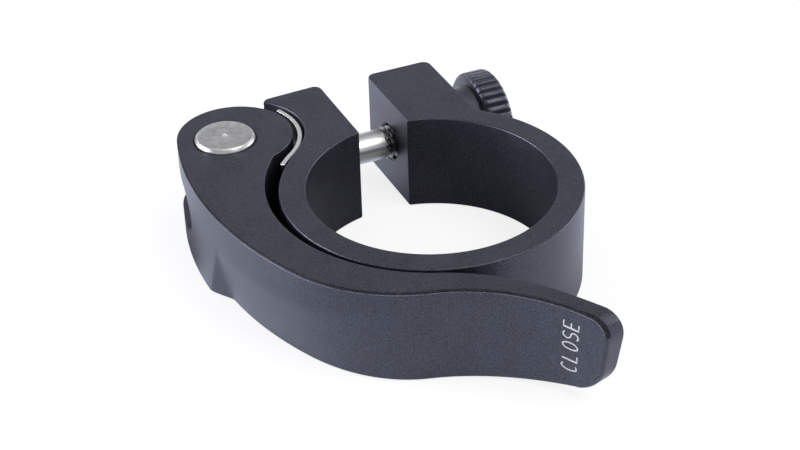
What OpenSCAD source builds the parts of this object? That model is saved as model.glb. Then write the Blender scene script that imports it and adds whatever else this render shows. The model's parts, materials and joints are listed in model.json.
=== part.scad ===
// Quick-release seatpost clamp, closed.
// The bore axis is Z and the bottom face of the collar is z = 0.
// The rod lies along X, the ears point to +Y and the lever's head is on the -X side.

/* [Collar] */
// Bore that grips the seat tube
bore_d = 34.9; // [34:0.1:36]
// Wall of the ring
ring_wall = 3.75; // [3.2:0.05:4.4]
// Height of the ring and the ears
collar_h = 14.8; // [14:0.1:17]
// Gap between the ears
gap_w = 8; // [7:0.1:9]
// Ears behind the rod's axis
ear_over = 8.3; // [7.5:0.1:9.5]
// Outer face of the nut's ear, from the bore axis
ear_right = 14.3; // [13:0.1:15]
// Ear in front of the lever's pin, from the pin's axis
ear_reach = 8.7; // [8.1:0.1:9.1]
// Radius of the ears' upright corners
ear_corner_r = 1.2; // [0.6:0.1:1.8]
// Chamfer round both ends of the bore
bore_chamfer = 0.3; // [0.1:0.05:0.6]

/* [Rod] */
// Thread diameter of the rod
thread_d = 5; // [4.6:0.1:5.4]
// Smooth shank of the rod
shank_d = 4.6; // [4.2:0.1:4.9]
// Start of the nut's thread, from the bore axis
thread_x = 2.6; // [1:0.1:4]
// Free space round the rod in the ears
rod_clear = 0.25; // [0.15:0.05:0.5]
// Chamfer on the ends of the rod
rod_chamfer = 0.5; // [0.2:0.1:0.8]

/* [Barrel pin] */
// Diameter of the barrel pin
pin_d = 8.8; // [8:0.1:9.2]
// Height of the pin above the lever
pin_proud = 0.6; // [0.3:0.1:1]
// Depth of the pin's lower end inside the lever
pin_recess = 0.2; // [0:0.1:0.6]
// Chamfer on the ends of the pin
pin_chamfer = 0.45; // [0.2:0.05:0.8]
// Radial running fit of the pin in the lever
pin_fit = 0.05; // [0.02:0.01:0.1]
// Diameter of the turning centre in the pin's top
dimple_d = 1; // [0.6:0.1:1.6]

/* [Cam and saddle] */
// Radius of the cam, which is the lever's round head
cam_r = 8.4; // [8.2:0.05:8.5]
// Distance from the pin axis to the cam's centre
cam_offset = 1.65; // [1.4:0.05:1.75]
// Direction from the pin axis to the cam's centre
cam_angle = 12; // [6:1:18]
// Free space between the cam's high point and the saddle
cam_clear = 0.2; // [0.1:0.01:0.3]
// Thickness of the saddle plate
saddle_t = 0.7; // [0.6:0.05:0.8]
// Distance from the pin axis to the saddle's centre
saddle_shift = 0.57; // [0.4:0.01:0.7]
// Direction from the pin axis to the saddle's centre
saddle_lean = 50; // [40:1:60]
// Step from the collar's faces to the saddle's edges
saddle_inset = 0.3; // [0.2:0.05:0.9]
// End of the saddle in the seat, as an angle about its centre
saddle_top_angle = 25; // [18:1:32]
// Length of the saddle's lip along the ring
saddle_lip = 3.3; // [2:0.1:4]
// Room between the closed cam and the seat in the ear
seat_room = 1.5; // [1.45:0.05:1.7]
// Distance from the closed cam's centre to the seat's centre
seat_shift = 0.26; // [0.2:0.01:0.4]
// Direction of the seat's centre from the bore axis
seat_dir = 129; // [127:0.5:131]
// Wall between the ring's outside and the seat, on the line through their centres
seat_wall = 0.42; // [0.35:0.01:0.6]

/* [Lever] */
// Radius of the arm's outer side beside the head, in ring radii
outer_k1 = 2.585; // [2.5:0.005:2.7]
// Radius of the arm's outer side round the corner, in ring radii
outer_k2 = 1.0283; // [0.99:0.0001:1.06]
// Radius of the hollow in the arm's outer side before the tip, in ring radii
outer_k3 = 1.1604; // [1.08:0.0001:1.27]
// Radius of the arm's inner side round the ring, beyond the ring
arm_gap = 2.4; // [2.3:0.05:2.7]
// Radius of the arm's inner side before the tip, in ring radii
inner_k2 = 1.4387; // [1.37:0.0001:1.5]
// Straight end of the arm
tip_len = 5.65; // [5.55:0.05:6.2]
// Radius of the tip's lower corner, seen from the side
tip_r_low = 4.7; // [3.5:0.1:5]
// Radius of the tip's upper corner, seen from the side
tip_r_high = 3; // [1.5:0.1:3.2]
// Rise of the arm's underside at the tip
tip_rise = 3.2; // [1:0.1:3.4]
// Drop of the arm's top at the tip
tip_drop = 0.4; // [0:0.1:0.8]
// Lean of the tip's end below its middle, along the arm for each unit of height
tip_lean = 0.16; // [0:0.01:0.2]
// Depth of the finger hollow in the outer side, at the underside
scoop_depth = 1.9; // [1:0.1:2.2]
// Upright band above the hollow beside the head
scoop_band = 5.8; // [4:0.1:8]
// Upright band above the hollow before the tip
scoop_band_tip = 2.5; // [1.5:0.1:4]
// Width of the rounded edges on the arm's outer side
lever_edge = 0.4; // [0.2:0.05:0.5]
// Width of the edges on the arm's inner side and round the head
inner_edge = 0.2; // [0.1:0.05:0.3]
// Height of the rod slot in the head
slot_h = 7.4; // [6:0.1:8]
// Turn of the lever that the slot allows, with its end margin
slot_angle = 204; // [195:1:206]

/* [Nut] */
// Step from the collar's faces to the nut's knurl
nut_inset = 0.2; // [0.1:0.05:0.9]
// Length of the knurled disc
nut_len = 4.2; // [3:0.1:6]
// Diameter of the nut's shoulder
shoulder_d = 11; // [9:0.1:12]
// Length of the nut's shoulder
shoulder_len = 3.2; // [2:0.1:4]
// Number of ridges in the knurl
knurl_count = 36; // [24:1:44]
// Depth of the knurl's grooves
knurl_depth = 0.55; // [0.3:0.05:0.8]
// Chamfer on the disc's rims
nut_chamfer = 0.5; // [0.2:0.1:0.8]
// Gap between the shoulder and the ear
nut_clear = 0.05; // [0.02:0.01:0.1]
// Radial fit of the rod's thread in the nut
thread_fit = 0.05; // [0.03:0.01:0.1]
// Depth of the rod's end inside the nut
rod_end_depth = 0.7; // [0:0.1:2]

/* [Hidden] */
$fn = 96;
eps = 0.01;
over = 1;

bore_r = bore_d / 2;
ring_r = bore_r + ring_wall;
mid_z = collar_h / 2;
rod_r = thread_d / 2;
rod_hole_r = rod_r + rod_clear;

// The ear's seat stands clear of the ring by its wall, and the pin and the closed cam lie behind it
seat_r = cam_r + seat_room;
seat_dist = ring_r + seat_r + seat_wall;
seat_c = polar([0, 0], seat_dist, seat_dir);
pin_c = polar(seat_c, -cam_offset - seat_shift, cam_angle);
cam_c = polar(pin_c, cam_offset, cam_angle);

// The saddle is wide enough for the cam's whole turn
saddle_r_in = cam_offset + cam_r + cam_clear;
saddle_r_out = saddle_r_in + saddle_t;
saddle_c = polar(pin_c, saddle_shift, saddle_lean);
saddle_dist = norm(saddle_c);
saddle_dir = atan2(saddle_c.y, saddle_c.x);

// The rod crosses the pin, and the ears stand round both
rod_y = pin_c.y;
ear_back = rod_y + ear_over;
ear_left = -pin_c.x - ear_reach;

// Pieces that end a step inside the collar's two faces
saddle_h = collar_h - 2 * saddle_inset;
nut_d = collar_h - 2 * nut_inset;

// The lever's arm follows the ring
outer_r1 = outer_k1 * ring_r;
outer_r2 = outer_k2 * ring_r;
outer_r3 = outer_k3 * ring_r;
inner_r1 = ring_r + arm_gap;
inner_r2 = inner_k2 * ring_r;

// Centres of the tangent arcs on the arm's outer side, and where one arc meets the next
outer_a0 = 163.5;
outer_a1 = 204.8;
outer_a2 = 255.1;
outer_turn = 44;
outer_c1 = polar(cam_c, outer_r1 - cam_r, outer_a0 + 180);
outer_c2 = polar(outer_c1, outer_r1 - outer_r2, outer_a1);
outer_c3 = polar(outer_c2, outer_r2 + outer_r3, outer_a2);
tip_heading = outer_a2 + 90 - outer_turn;

// The same for the inner side, whose first arc runs round the ring
inner_c1 = ring_r * [0.0519, 0.0708];
inner_a0 = meeting_angle(inner_c1, inner_r1, cam_c, cam_r);
inner_a1 = 207;
inner_a2 = 246.25;
inner_c2 = polar(inner_c1, inner_r1 + inner_r2, inner_a2);
inner_turn = inner_a2 + 90 - tip_heading;

// The finger hollow's end beside the head, as angles on the first outer arc
scoop_a0 = 182.3;
scoop_a1 = 186;
scoop_h = collar_h - scoop_band;
scoop_h_corner = collar_h - scoop_band_tip;

// Length of the arm from its bend to its end, and the height at which its end stops leaning
arm_run = outer_r3 * outer_turn * PI / 180 + tip_len;
lean_top = collar_h * 0.74;
rise_power = 2.5;

// Steps along the arm's arcs and round its head
steps1 = 32;
steps2 = 14;
steps3 = 16;
tip_steps = 6;
head_steps = 48;

function polar(c, r, a) = c + r * [cos(a), sin(a)];
function mix(a, b, f) = a + (b - a) * f;
function ramp(x, a, b) = min(1, max(0, (x - a) / (b - a)));
function smooth(f) = f * f * (3 - 2 * f);

// The angle on the circle c, r at which it leaves the circle d, s, going anticlockwise
function meeting_angle(c, r, d, s) =
    let (apart = norm(d - c))
    atan2(d.y - c.y, d.x - c.x) + acos((r * r + apart * apart - s * s) / (2 * r * apart));

// How far a corner of radius r, seen from the side, has closed at a distance d from the end
function corner_rise(r, d) = d >= r ? 0 : r - sqrt(r * r - (r - d) * (r - d));

// How far the underside has risen, and the top dropped, at a length s past the bend
function rise_at(s) = tip_rise * pow(s / arm_run, rise_power);
function drop_at(s) = tip_drop * smooth(s / arm_run);

// One station of the arm: outer point, its outward direction, inner point, its outward direction,
// underside, hollow's upper edge, top, hollow's depth, width of the outer side's edges
function station(o, oa, i, ia, low, crease, high, depth, edge) =
    [o, oa, i, ia, low, crease, high, depth, edge];

// Beside the head: the hollow opens at a slant and then stays at its full depth
stations1 = [for (k = [0:steps1])
    let (f = k / steps1, a = mix(outer_a0, outer_a1, f), ai = mix(inner_a0, inner_a1, f),
         open = ramp(a, scoop_a0, scoop_a1), along = ramp(a, scoop_a1, outer_a1))
    station(polar(outer_c1, outer_r1, a), a, polar(inner_c1, inner_r1, ai), ai + 180,
            0, max(1, scoop_h * open) + along, collar_h, scoop_depth * open,
            mix(inner_edge, lever_edge, f))];

// Round the corner: the hollow grows higher and shallower
stations2 = [for (k = [1:steps2])
    let (f = k / steps2, a = mix(outer_a1, outer_a2, f), ai = mix(inner_a1, inner_a2, f))
    station(polar(outer_c2, outer_r2, a), a, polar(inner_c1, inner_r1, ai), ai + 180,
            0, mix(scoop_h + 1, scoop_h_corner, f), collar_h, scoop_depth * mix(1, 0.5, smooth(f)),
            lever_edge)];

// Before the tip: the arm bends outwards, and the hollow takes its whole height
stations3 = [for (k = [1:steps3])
    let (f = k / steps3, a = outer_a2 - 180 - outer_turn * f, ai = inner_a2 - 180 - inner_turn * f,
         s = f * (arm_run - tip_len), high = collar_h - drop_at(s))
    station(polar(outer_c3, outer_r3, a), a + 180, polar(inner_c2, inner_r2, ai), ai,
            rise_at(s), mix(scoop_h_corner, high - 1, ramp(f, 0, 0.5)), high,
            scoop_depth * mix(0.5, 0.37, f), lever_edge)];

arm_end = stations3[steps3 - 1];
tip_dir = [cos(tip_heading), sin(tip_heading)];
// Both sides end on one line square to the tip
inner_tip_len = tip_len + (arm_end[0] - arm_end[2]) * tip_dir;

// The tip's underside turns up through its lower corner, which starts at the underside's slope,
// and then leans out to its end.
// Each entry is a height and the distance there from the end.
tip_a0 = 13;
tip_mid = rise_at(arm_run - 1.1 * tip_r_low) + tip_r_low * cos(tip_a0);
tip_lows = concat(
    [for (k = [0:tip_steps]) let (a = mix(tip_a0, 90, k / tip_steps), z = tip_mid - tip_r_low * cos(a))
        [z, tip_lean * (lean_top - z) + tip_r_low * (1 - sin(a))]],
    [for (k = [1:2]) let (z = mix(tip_mid, lean_top, k / 2)) [z, tip_lean * (lean_top - z)]]);

tip_stations = [for (t = tip_lows)
    let (low = t[0], d = t[1], tuck = corner_rise(lever_edge, d),
         o = arm_end[0] + tip_dir * (tip_len - d), i = arm_end[2] + tip_dir * (inner_tip_len - d),
         high = collar_h - drop_at(arm_run - d) - corner_rise(tip_r_high, d))
    station(o + polar([0, 0], tuck, tip_heading + 90), arm_end[1],
            i + polar([0, 0], tuck, tip_heading - 90), arm_end[3],
            low, max(mix(low, high, 0.5), high - 1), high,
            scoop_depth * 0.37 * ramp(high - low, 0, collar_h), min(lever_edge, (high - low) / 4))];

stations = concat(stations1, stations2, stations3, tip_stations);
last = len(stations) - 1;

// The head's round end runs from the inner side back to the outer side
head_a0 = atan2(stations[0][2].y - cam_c.y, stations[0][2].x - cam_c.x);
head_angles = [for (k = [1:head_steps - 1]) mix(head_a0, outer_a0, k / head_steps)];

// One closed outline of the lever, seen from above, at one of its five levels
function outer_inset(s, level) =
    level == 0 ? s[7] + s[8] : level == 1 ? s[7] : level == 4 ? s[8] : 0;
function plain_inset(level) = level == 0 || level == 4 ? inner_edge : 0;
function level_z(low, crease, high, edge, level) =
    [low, low + edge, crease, high - edge, high][level];
function above(p, z) = [p.x, p.y, z];
function lever_loop(level) = concat(
    [for (s = stations)
        above(polar(s[0], -outer_inset(s, level), s[1]), level_z(s[4], s[5], s[6], s[8], level))],
    [for (k = [last:-1:0]) let (s = stations[k])
        above(polar(s[2], -plain_inset(level), s[3]),
              level_z(s[4], s[5], s[6], min(inner_edge, (s[6] - s[4]) / 4), level))],
    [for (a = head_angles)
        above(polar(cam_c, cam_r - plain_inset(level), a),
              level_z(0, 1, collar_h, inner_edge, level))]);

levels = 5;
loop_len = 2 * (last + 1) + len(head_angles);
function loop_at(level, i) = level * loop_len + i % loop_len;

// A rounded block, from corner to corner
module rounded_rect(x0, y0, x1, y1, r) {
    translate([x0 + r, y0])
        square([x1 - x0 - 2 * r, y1 - y0]);
    translate([x0, y0 + r])
        square([x1 - x0, y1 - y0 - 2 * r]);
    for (x = [x0 + r, x1 - r], y = [y0 + r, y1 - r])
        translate([x, y])
            circle(r);
}

// A cylinder along X, from one x to another, on the rod's axis
module along_rod(r, x0, x1) {
    translate([x0, rod_y, mid_z])
        rotate([0, 90, 0])
            cylinder(r = r, h = x1 - x0);
}

// Fills the corner between the ring and the seat, along a line that just crosses both circles
module seat_blend() {
    turn = acos((ring_r + seat_r) / seat_dist);
    hair = 0.02;
    difference() {
        polygon([polar([0, 0], ring_r - hair, seat_dir + turn + 2),
                 polar(seat_c, seat_r - hair, seat_dir + 182 + turn),
                 [-ear_left, rod_y - seat_r / 2], [ear_corner_r - ear_left, rod_y - seat_r / 2],
                 polar([0, 0], ring_r - ear_corner_r, seat_dir + 3)]);
        translate(seat_c)
            circle(seat_r);
    }
}

module collar_outline() {
    difference() {
        union() {
            circle(ring_r);
            rounded_rect(-ear_left, bore_r - ring_wall, -gap_w / 2, ear_back, ear_corner_r);
            rounded_rect(gap_w / 2, bore_r - ring_wall, ear_right, ear_back, ear_corner_r);
        }
        circle(bore_r);
        translate([-gap_w / 2, 0])
            square([gap_w, bore_r + ring_wall]);
        translate(seat_c)
            circle(seat_r);
    }
}

module collar() {
    color("#2b2c33")
    difference() {
        union() {
            linear_extrude(collar_h)
                collar_outline();
            linear_extrude(collar_h)
                seat_blend();
        }
        translate([0, 0, -eps])
            cylinder(r1 = bore_r + bore_chamfer + eps, r2 = bore_r, h = bore_chamfer + eps);
        translate([0, 0, collar_h - bore_chamfer])
            cylinder(r1 = bore_r, r2 = bore_r + bore_chamfer + eps, h = bore_chamfer + eps);
        along_rod(rod_hole_r, -ear_left - over, ear_right + over);
    }
}

// A slice of a circle, from one angle to another, as a polygon whose arc lies outside the circle
module sector(r, a0, a1) {
    polygon(concat([[0, 0]], [for (k = [0:6]) polar([0, 0], r * 1.3, mix(a0, a1, k / 6))]));
}

// The saddle follows the seat, then turns the other way and follows the ring
module saddle() {
    lip_angle = saddle_lip / (ring_r + saddle_t / 2) * 180 / PI;
    lip_r = saddle_dist - saddle_r_out;
    color("#b9bbbd")
    difference() {
        translate([0, 0, mid_z - saddle_h / 2])
        linear_extrude(saddle_h) {
            translate(saddle_c)
            intersection() {
                difference() {
                    circle(saddle_r_out);
                    circle(saddle_r_in);
                }
                sector(saddle_r_out, saddle_dir - 180, saddle_top_angle);
            }
            intersection() {
                difference() {
                    circle(lip_r + saddle_t);
                    circle(lip_r);
                }
                sector(lip_r + saddle_t, saddle_dir - 0.5, saddle_dir + lip_angle);
            }
        }
        along_rod(rod_hole_r, pin_c.x, 0);
    }
}

module lever_blank() {
    polyhedron(
        points = [for (level = [0:levels - 1]) each lever_loop(level)],
        faces = concat(
            [for (level = [0:levels - 2], i = [0:loop_len - 1])
                [loop_at(level, i), loop_at(level + 1, i),
                 loop_at(level + 1, i + 1), loop_at(level, i + 1)]],
            // Underside and top of the arm, a strip between each pair of stations
            [for (k = [0:last - 1]) let (i = 2 * last + 1 - k)
                [loop_at(0, k), loop_at(0, k + 1), loop_at(0, i - 1), loop_at(0, i)]],
            [for (k = [0:last - 1]) let (i = 2 * last + 1 - k)
                [loop_at(4, k), loop_at(4, i), loop_at(4, i - 1), loop_at(4, k + 1)]],
            // Underside and top of the head
            [[loop_at(0, 0), for (i = [2 * last + 1:loop_len - 1]) loop_at(0, i)]],
            [[for (i = [loop_len - 1:-1:2 * last + 1]) loop_at(4, i), loop_at(4, 0)]]));
}

// The slot lets the lever turn about the pin past the rod. Its flat sides lie a hair inside the
// round ends, so that the cuts cross and don't just touch.
module rod_slot() {
    reach = 2 * cam_r;
    side_h = slot_h - 0.06;
    translate([pin_c.x, pin_c.y, mid_z]) {
        rotate_extrude(angle = slot_angle)
            translate([0, -side_h / 2])
                square([reach, side_h]);
        for (a = [0, slot_angle])
            rotate([0, 90, a])
                cylinder(d = slot_h, h = reach);
    }
}

module lever() {
    color("#33343b")
    difference() {
        lever_blank();
        translate([pin_c.x, pin_c.y, -over])
            cylinder(r = pin_d / 2 + pin_fit, h = collar_h + 2 * over);
        rod_slot();
    }
}

module barrel_pin() {
    top = collar_h + pin_proud;
    pin_r = pin_d / 2;
    color("#c4c2be")
    difference() {
        translate([pin_c.x, pin_c.y, 0])
        rotate_extrude()
            polygon([[0, pin_recess], [pin_r - pin_chamfer, pin_recess], [pin_r, pin_recess + pin_chamfer],
                     [pin_r, top - pin_chamfer], [pin_r - pin_chamfer, top], [dimple_d / 2, top],
                     [0, top - dimple_d / 2]]);
        along_rod(rod_r + thread_fit / 2, pin_c.x - pin_r - over, pin_c.x + pin_r + over);
    }
}

module rod() {
    x0 = pin_c.x - pin_d / 2 + rod_chamfer;
    x1 = ear_right + nut_clear + shoulder_len + nut_len - rod_end_depth;
    shank_x = pin_c.x + pin_d / 2 + rod_chamfer;
    color("#b4b4b2")
    translate([0, rod_y, mid_z])
        rotate([0, 90, 0])
            rotate_extrude()
                polygon([[0, x0], [rod_r - rod_chamfer, x0], [rod_r, x0 + rod_chamfer], [rod_r, shank_x],
                         [shank_d / 2, shank_x + rod_chamfer], [shank_d / 2, thread_x],
                         [rod_r, thread_x + rod_chamfer], [rod_r, x1 - rod_chamfer],
                         [rod_r - rod_chamfer, x1], [0, x1]]);
}

// One groove of the knurl, a V that opens outwards, the whole length of the disc
module knurl_groove() {
    half = PI * nut_d / knurl_count / 2 * 0.8;
    translate([nut_d / 2 - knurl_depth, 0])
        polygon([[0, 0], [knurl_depth + over, -half - half * over / knurl_depth],
                 [knurl_depth + over, half + half * over / knurl_depth]]);
}

module nut() {
    nut_r = nut_d / 2;
    shoulder_r = shoulder_d / 2;
    end = shoulder_len + nut_len;
    color("#24252b")
    translate([ear_right + nut_clear, rod_y, mid_z])
    rotate([0, 90, 0])
    difference() {
        rotate_extrude()
            polygon([[0, 0], [shoulder_r - nut_chamfer, 0], [shoulder_r, nut_chamfer],
                     [shoulder_r, shoulder_len],
                     [nut_r - nut_chamfer, shoulder_len], [nut_r, shoulder_len + nut_chamfer],
                     [nut_r, end - nut_chamfer], [nut_r - nut_chamfer, end], [0, end]]);
        translate([0, 0, shoulder_len])
        linear_extrude(nut_len + over)
            for (k = [0:knurl_count - 1])
                rotate(k * 360 / knurl_count)
                    knurl_groove();
        translate([0, 0, -over])
            cylinder(r = rod_r + thread_fit, h = end + 2 * over);
    }
}

collar();
saddle();
lever();
barrel_pin();
rod();
nut();
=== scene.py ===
"""Looks of the quick-release seatpost clamp: rounded anodised parts, threads, a knurl and bare steel.

Shapes are worked out in millimetres, in the frame of the solids, and written to the meshes in metres.
"""

import json
from math import acos, asin, atan2, ceil, cos, degrees, hypot, pi, radians, sin, sqrt

import bmesh
import bpy
from mathutils import Matrix, Vector
from mathutils.bvhtree import BVHTree


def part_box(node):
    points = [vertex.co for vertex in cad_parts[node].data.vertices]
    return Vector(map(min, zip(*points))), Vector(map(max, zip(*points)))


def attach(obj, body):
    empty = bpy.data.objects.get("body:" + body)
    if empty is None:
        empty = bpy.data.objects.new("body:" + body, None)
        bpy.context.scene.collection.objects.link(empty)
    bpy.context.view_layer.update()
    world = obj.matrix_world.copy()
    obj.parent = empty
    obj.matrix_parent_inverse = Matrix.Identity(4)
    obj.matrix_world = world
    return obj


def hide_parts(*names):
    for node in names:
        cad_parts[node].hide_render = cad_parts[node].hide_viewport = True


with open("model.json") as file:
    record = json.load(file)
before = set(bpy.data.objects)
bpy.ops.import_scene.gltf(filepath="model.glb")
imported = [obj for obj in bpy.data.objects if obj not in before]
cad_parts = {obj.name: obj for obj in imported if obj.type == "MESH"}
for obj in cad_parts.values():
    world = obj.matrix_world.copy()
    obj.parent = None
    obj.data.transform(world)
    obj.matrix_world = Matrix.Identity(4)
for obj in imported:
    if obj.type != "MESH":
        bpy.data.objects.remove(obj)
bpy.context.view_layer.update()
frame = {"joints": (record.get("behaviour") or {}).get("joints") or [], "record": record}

MM = 0.001

# Plane geometry


def polar(centre, r, angle):
    """The point at a radius and an angle in degrees from a centre."""
    turn = radians(angle)
    return Vector((centre[0] + r * cos(turn), centre[1] + r * sin(turn)))


def mix(a, b, f):
    """a at f = 0 and b at f = 1."""
    return a + (b - a) * f


def ramp(x, a, b):
    """Goes from 0 at a to 1 at b and stays level beyond them."""
    return min(1.0, max(0.0, (x - a) / (b - a)))


def smooth(f):
    """Eases 0 to 1 in and out."""
    return f * f * (3 - 2 * f)


def meeting_angle(c, r, d, s):
    """The angle on the circle c, r at which it leaves the circle d, s, going anticlockwise."""
    apart = (d - c).length
    beside = acos((r * r + apart * apart - s * s) / (2 * r * apart))
    return degrees(atan2(d.y - c.y, d.x - c.x) + beside)


def arc(centre, r, a0, a1, step=3.0):
    """Points along an arc, from one angle to another, both ends with it."""
    n = max(2, ceil(abs(a1 - a0) / step))
    return [polar(centre, r, mix(a0, a1, k / n)) for k in range(n + 1)]


def filleted(points, radii, steps=5):
    """A closed outline whose corners named in radii (index to radius) are rounded."""
    out = []
    for i, p in enumerate(points):
        r = radii.get(i)
        if not r:
            out.append(p)
            continue
        a = (points[i - 1] - p).normalized()
        b = (points[(i + 1) % len(points)] - p).normalized()
        half = acos(max(-1.0, min(1.0, a.dot(b)))) / 2
        reach = r / max(1e-6, abs(sin(half) / cos(half)))
        centre = p + (a + b).normalized() * (r / sin(half))
        start, end = p + a * reach, p + b * reach
        t0 = atan2(start.y - centre.y, start.x - centre.x)
        turn = atan2(end.y - centre.y, end.x - centre.x) - t0
        turn = (turn + pi) % (2 * pi) - pi
        out += [centre + r * Vector((cos(t0 + turn * k / steps), sin(t0 + turn * k / steps)))
                for k in range(steps + 1)]
    return out


def edge_steps(r, n=5):
    """(inset, depth) along a rounded edge, from the flat face down to the side."""
    return [(r * (1 - sin(pi / 2 * k / n)), r * (1 - cos(pi / 2 * k / n))) for k in range(n + 1)]


# Sizes, in millimetres


def box_mm(node):
    """The corners of a node's box, in millimetres."""
    low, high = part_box(node)
    return low / MM, high / MM


joints = {j["name"]: j for j in frame["joints"]}
pivot = Vector(joints["lever_pivot"]["pos_m"]) / MM
bore = frame["record"]["mounts"][0]

# The collar, whose left ear stands a little nearer to the middle and further back than the right one
ear_reach = 8.7
nut_clear = 0.05
collar_high = box_mm("collar")[1]
height = collar_high.z
mid_z = height / 2
ring_r = collar_high.x
bore_r = bore["dims"]["r_mm"]
ear_back = collar_high.y
ear_left = -pivot.x - ear_reach
ear_right = box_mm("nut")[0].x - nut_clear
gap_right, gap_left = 4.0, 3.6
ear_skew = 0.4
ear_corner_r = 1.2

# The rod, with its smooth shank between two threads
rod_low, rod_high = box_mm("rod")
rod_y = pivot.y
rod_r = (rod_high.z - rod_low.z) / 2
hole_r = rod_r + 0.25
shank_r = 2.3
thread_x = 2.6
pitch = 0.8

# The pin, the cam round it, and the seat and plate behind the cam
pin_c = Vector((pivot.x, pivot.y))
pin_low, pin_high = box_mm("barrel_pin")
pin_r = (pin_high.x - pin_low.x) / 2
cam_r = 8.4
cam_offset = 1.65
cam_angle = 12
cam_c = polar(pin_c, cam_offset, cam_angle)
cam_clear = 0.2
seat_room, seat_shift = 1.5, 0.26
seat_r = cam_r + seat_room
seat_offset = cam_offset + seat_shift
saddle_low, saddle_high = box_mm("saddle")
saddle_t = 0.7
saddle_r_in = cam_offset + cam_r + cam_clear
saddle_r_out = saddle_r_in + saddle_t
saddle_shift = 0.57
saddle_lean = 50
saddle_top_angle = 25
saddle_lip = 3.3

# The nut, a little larger than its solid
nut_low, nut_high = box_mm("nut")
nut_extra = 0.2
nut_r = (nut_high.z - nut_low.z) / 2 + nut_extra
shoulder_r = 5.5
shoulder_len = 3.2
knurl_count = 36

# Meshes


def make_object(name, bm, body, node, smooth_angle=28):
    """Turns a bmesh in millimetres into a piece that stands for a node, or for none."""
    bmesh.ops.scale(bm, vec=(MM, MM, MM), verts=bm.verts)
    mesh = bpy.data.meshes.new(name)
    bm.to_mesh(mesh)
    bm.free()
    obj = bpy.data.objects.new(name, mesh)
    bpy.context.scene.collection.objects.link(obj)
    shade(obj, smooth_angle)
    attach(obj, body)
    if node:
        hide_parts(node)
    return obj


def shade(obj, angle):
    """Smooths a new piece and keeps its flats flat."""
    shade_again(obj, angle)
    weighted = obj.modifiers.new("weighted", "WEIGHTED_NORMAL")
    weighted.keep_sharp = True


def shade_again(obj, angle=28):
    """Smooths a mesh that a cut has changed."""
    obj.data.shade_smooth()
    obj.data.set_sharp_from_angle(angle=radians(angle))


def loft(bm, loops):
    """Skins a list of closed loops of equal length and caps both ends."""
    rows = [[bm.verts.new(p) for p in loop] for loop in loops]
    n = len(rows[0])
    for low, high in zip(rows, rows[1:]):
        for i in range(n):
            j = (i + 1) % n
            bm.faces.new((low[i], low[j], high[j], high[i]))
    bm.faces.new(list(reversed(rows[0])))
    bm.faces.new(rows[-1])


def outward(points):
    """The miter direction at each point of a closed anticlockwise outline."""
    out = []
    n = len(points)
    for i, p in enumerate(points):
        a = (p - points[i - 1]).normalized()
        b = (points[(i + 1) % n] - p).normalized()
        m = Vector((a.y + b.y, -a.x - b.x))
        m.normalize()
        out.append(m / max(0.5, m.dot(Vector((a.y, -a.x)))))
    return out


def extruded(outline, z0, z1, edge):
    """An upright prism with rounded edges."""
    normals = outward(outline)
    steps = edge_steps(edge)
    levels = [(i, z0 + d) for i, d in steps] + [(i, z1 - d) for i, d in reversed(steps)]
    bm = bmesh.new()
    loft(bm, [[(p.x - m.x * i, p.y - m.y * i, z) for p, m in zip(outline, normals)] for i, z in levels])
    return bm


def lathe(profile, segments=96, radius_at=None):
    """Turns (x, r) pairs about the rod's axis. radius_at may change r with the angle."""
    bm = bmesh.new()
    loops = []
    for x, r in profile:
        loop = []
        for k in range(segments):
            a = 2 * pi * k / segments
            rr = radius_at(x, r, a) if radius_at else r
            loop.append((x, rod_y + rr * cos(a), mid_z + rr * sin(a)))
        loops.append(loop)
    loft(bm, loops)
    return bm


def cut(obj, cutter_bm):
    """Takes a cutter away from a piece and keeps the result as the piece's mesh."""
    bmesh.ops.scale(cutter_bm, vec=(MM, MM, MM), verts=cutter_bm.verts)
    bmesh.ops.recalc_face_normals(cutter_bm, faces=cutter_bm.faces)
    mesh = bpy.data.meshes.new("cutter")
    cutter_bm.to_mesh(mesh)
    cutter_bm.free()
    cutter = bpy.data.objects.new("cutter", mesh)
    bpy.context.scene.collection.objects.link(cutter)
    modifier = obj.modifiers.new("cut", "BOOLEAN")
    modifier.operation = "DIFFERENCE"
    modifier.solver = "EXACT"
    modifier.object = cutter
    bpy.context.view_layer.update()
    shown = [m for m in obj.modifiers if m != modifier]
    for m in shown:
        m.show_viewport = False
    result = bpy.data.meshes.new_from_object(obj.evaluated_get(bpy.context.evaluated_depsgraph_get()))
    for m in shown:
        m.show_viewport = True
    obj.modifiers.remove(modifier)
    old = obj.data
    obj.data = result
    bpy.data.meshes.remove(old)
    bpy.data.objects.remove(cutter)


def countersunk(x0, x1, r, chamfer, segments=64):
    """A cutter along the rod's axis with a cone at both mouths."""
    over = 1.0
    wide = r + chamfer + over
    return lathe([(x0 - over, wide), (x0 + chamfer, r), (x1 - chamfer, r), (x1 + over, wide)], segments)


# Collar


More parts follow.
